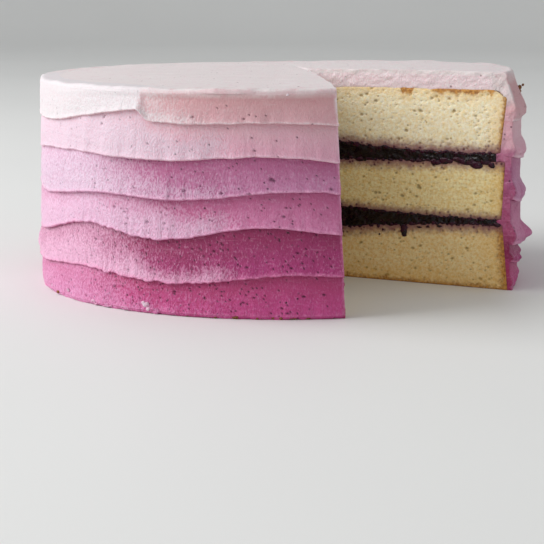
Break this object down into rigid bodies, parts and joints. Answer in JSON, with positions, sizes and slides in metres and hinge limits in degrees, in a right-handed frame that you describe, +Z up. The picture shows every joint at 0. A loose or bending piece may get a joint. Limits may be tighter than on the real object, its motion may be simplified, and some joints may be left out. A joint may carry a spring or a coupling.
{
  "type": "jam layer cake",
  "caption": "Round jam layer cake covered with shaded, wavy-banded icing, with a slice taken out so that the sponge and jam layers show.",
  "frame": {"origin": "centre of the base, on the surface that the cake stands on", "axes": "+Z up, -Y towards the front; the missing slice is at the front right"},
  "size_m": [0.2191, 0.2183, 0.0952],
  "materials": {
    "sponge": "open, dry yellow crumb with a golden crust",
    "jam": "wet, dark berry jam",
    "icing_top": "smooth satin buttercream",
    "icing_1": "satin buttercream, palest pink",
    "icing_2": "satin buttercream, pale lilac pink",
    "icing_3": "satin buttercream, lilac pink",
    "icing_4": "satin buttercream, lilac pink",
    "icing_5": "satin buttercream, magenta with dark specks",
    "icing_6": "satin buttercream, magenta with dark specks"
  },
  "bodies": {
    "root": {"sponge_bottom": "sponge", "sponge_middle": "sponge", "sponge_top": "sponge", "jam_lower": "jam", "jam_upper": "jam", "icing_top": "icing_top", "icing_band_1": "icing_1", "icing_band_2": "icing_2", "icing_band_3": "icing_3", "icing_band_4": "icing_4", "icing_band_5": "icing_5", "icing_band_6": "icing_6"}
  },
  "joints": []
}
